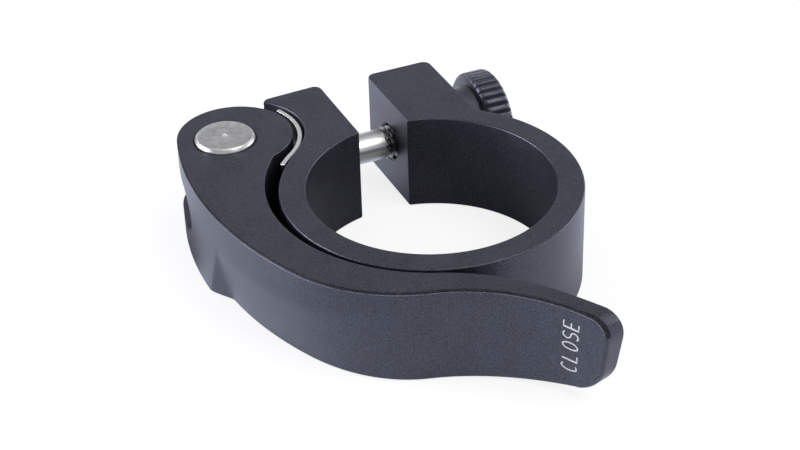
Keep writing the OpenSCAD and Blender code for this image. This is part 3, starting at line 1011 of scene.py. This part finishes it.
def build_stage():
    """A pale floor, which shows as white and keeps a faint shadow; reflections see a painted shadow inside
    the ring and under the head.
    """
    albedo, white = 0.25, 1.05
    head_near, head_far = 10.5 * MM, 14 * MM
    bpy.ops.mesh.primitive_plane_add(size=6, location=(0, 0, -0.0001))
    floor = bpy.context.object
    floor.name = "floor"
    material, nodes, links, shader = new_material("floor_white")
    shader.inputs["Base Color"].default_value = (albedo, albedo, albedo, 1)
    shader.inputs["Roughness"].default_value = 0.9
    shader.inputs["Specular IOR Level"].default_value = 0.0
    rays = nodes.new("ShaderNodeLightPath")
    reach = nodes.new("ShaderNodeVectorMath")
    reach.operation = "LENGTH"
    place = nodes.new("ShaderNodeTexCoord").outputs["Object"]
    links.new(place, reach.inputs[0])
    # Painted shadow: the glow that reflections see in the floor fades inside the ring and under the head
    ring_painted_shadow_fade = mapped(nodes, links, reach.outputs["Value"], 0.1, 1.0, bore_r * MM, ring_r * 1.3 * MM)
    to_pin = nodes.new("ShaderNodeVectorMath")
    to_pin.operation = "DISTANCE"
    to_pin.inputs[1].default_value = (pin_c.x * MM, pin_c.y * MM, 0)
    links.new(place, to_pin.inputs[0])
    head_painted_shadow_fade = mapped(nodes, links, to_pin.outputs["Value"], 0.05, 1.0, head_near, head_far)
    # clear is the glow that the painted shadow leaves
    clear = times(nodes, links, ring_painted_shadow_fade, head_painted_shadow_fade)
    off_metal = greater(nodes, links, rays.outputs["Is Glossy Ray"], rays.outputs["Is Transmission Ray"])
    seen = rays.outputs["Is Camera Ray"]
    shown = greater(nodes, links, seen, times(nodes, links, off_metal, clear))
    links.new(tint(nodes, links, seen, (0.8, 0.85, 1.0), (1, 1, 1)), shader.inputs["Emission Color"])
    links.new(times(nodes, links, shown, white - albedo), shader.inputs["Emission Strength"])
    floor.data.materials.append(material)


def build_world():
    """A pale studio: white at the horizon, dimmer overhead."""
    world = bpy.data.worlds.new("studio")
    bpy.context.scene.world = world
    world.use_nodes = True
    nodes, links = world.node_tree.nodes, world.node_tree.links
    background = nodes["Background"]
    seen = nodes.new("ShaderNodeLightPath").outputs["Is Camera Ray"]
    links.new(tint(nodes, links, seen, (0.92, 0.93, 1.0), (1, 1, 1)), background.inputs["Color"])
    place = nodes.new("ShaderNodeTexCoord")
    parts = nodes.new("ShaderNodeSeparateXYZ")
    links.new(place.outputs["Generated"], parts.inputs[0])
    overhead = mapped(nodes, links, parts.outputs["Z"], 1.0, 0.4, 0.0, 0.4)
    links.new(greater(nodes, links, seen, overhead), background.inputs["Strength"])


def lamp(name, position, aim, size, power, colour):
    """A softbox with its centre at a position in metres, turned to its aim."""
    data = bpy.data.lights.new(name, "AREA")
    data.shape = "RECTANGLE"
    data.size, data.size_y = size
    data.energy = power
    data.color = colour
    obj = bpy.data.objects.new(name, data)
    bpy.context.scene.collection.objects.link(obj)
    obj.location = position
    obj.rotation_euler = (Vector(aim) - Vector(position)).to_track_quat("-Z", "Y").to_euler()


def build_lights():
    """Softboxes at the left, the right, the front and overhead."""
    aim = (0, 0, 0.007)
    lamp("left_softbox", (-0.42, 0.17, 0.12), aim, (0.3, 0.2), 2.4, (0.88, 0.9, 1.0))
    lamp("right_softbox", (0.45, 0.0, 0.12), aim, (0.3, 0.2), 0.7, (0.93, 0.94, 1.0))
    lamp("front_softbox", (0.16, -0.23, 0.42), aim, (0.34, 0.26), 1.0, (1.0, 0.99, 0.96))
    lamp("top_softbox", (-0.03, 0.04, 0.5), aim, (0.36, 0.26), 0.22, (1.0, 0.98, 0.96))


def build_camera():
    """The photograph's camera, found from the collar's ellipses and upright edges."""
    target = Vector((-3.95, 2.35, 7.5)) * MM
    distance, azimuth, elevation, roll = 0.2687, radians(-23.19), radians(33.42), radians(-1.74)
    look = Vector((-sin(azimuth) * cos(elevation), cos(azimuth) * cos(elevation), -sin(elevation)))
    back = -look
    right = Vector((cos(azimuth), sin(azimuth), 0))
    up = back.cross(right)
    rolled_right = right * cos(roll) + up * sin(roll)
    rolled_up = up * cos(roll) - right * sin(roll)
    data = bpy.data.cameras.new("camera")
    data.sensor_fit = "HORIZONTAL"
    data.sensor_width = 36
    data.lens = 85.86
    data.clip_start = 0.01
    camera = bpy.data.objects.new("camera", data)
    bpy.context.scene.collection.objects.link(camera)
    matrix = Matrix((rolled_right, rolled_up, back)).transposed().to_4x4()
    matrix.translation = target + back * distance
    camera.matrix_world = matrix
    bpy.context.scene.camera = camera


# The scene

black = anodised("anodised_black", (0.002, 0.002, 0.003), (0.022, 0.021, 0.031))
# Painted shade: a dull copy of the black anodising on the rounded edge above the arm's outer side,
# standing in for the dark it reflects
edge_painted_shade = anodised("anodised_edge_painted_shade", (0.003, 0.003, 0.003), (0.024, 0.023, 0.025),
                     rough=0.5, shine=(0.0, 0.45), coat=0.0)
# Painted highlight: a lighter, glossier copy of the anodising on the rim row of that edge, standing in for
# the light the edge catches
rim_painted_highlight = anodised("anodised_rim_painted_highlight", (0.02, 0.02, 0.025), (0.24, 0.24, 0.26), rough=0.3, shine=(0.3, 1.0))
# Partly painted sheen: the nut's black is lighter than the other black parts, standing in for the light
# its faces catch; its gloss and film are its own
nut_painted_sheen = anodised("anodised_nut_painted_sheen", (0.014, 0.014, 0.018), (0.05, 0.05, 0.065), rough=0.34, coat=0.6)
steel = bright_steel("rod_steel", (0.78, 0.78, 0.76), (0.93, 0.93, 0.9), 0.3, (600, 9000, 9000))
plate = bright_steel("saddle_steel", (0.78, 0.78, 0.78), (0.92, 0.92, 0.92), 0.2, (4000, 4000, 500))
# Painted highlight: pale rough steel on the saddle's flat faces and the pin's turning centre, standing in
# for the light they catch
painted_highlight_steel = bright_steel("steel_painted_highlight", (0.86, 0.85, 0.83), (0.98, 0.97, 0.95), 0.5, (5000, 5000, 5000))
# Painted shade: darker steel on the thread, standing in for the dark parts it reflects
rolled = bright_steel("thread_painted_shade", (0.2, 0.19, 0.19), (0.34, 0.33, 0.33), 0.24, (3000, 3000, 3000))
# Painted shade: near-black steel on the saddle's inner wall, where the plate lies in shade
painted_shade_steel = bright_steel("saddle_inner_painted_shade", (0.02, 0.02, 0.02), (0.06, 0.055, 0.05), 0.5, (900, 900, 900))
turned = turned_steel("pin_steel")
white_ink = paint("white_ink", (0.86, 0.87, 0.9))


def dress(piece, materials):
    """Gives a piece its materials and keeps the index that each face already has."""
    zones = [face.material_index for face in piece.data.polygons]
    piece.data.materials.clear()
    for material in materials:
        piece.data.materials.append(material)
    piece.data.polygons.foreach_set("material_index", zones)


# The lever's black, then its painted shade and painted highlight copies for the top edge
lever_materials = (black, edge_painted_shade, rim_painted_highlight)
lever_piece, lever_end = build_lever(lever_materials)
dress(build_collar(), [black])
dress(lever_piece, lever_materials)
dress(build_saddle(), [plate, painted_highlight_steel, painted_shade_steel])
dress(build_pin(), [turned, painted_highlight_steel])
dress(build_rod(), [steel, rolled])
dress(build_nut(), [nut_painted_sheen])
dress(build_word(lever_piece, lever_end), [white_ink])

build_stage()
build_world()
build_lights()
build_camera()
bpy.context.scene.view_settings.view_transform = "Standard"
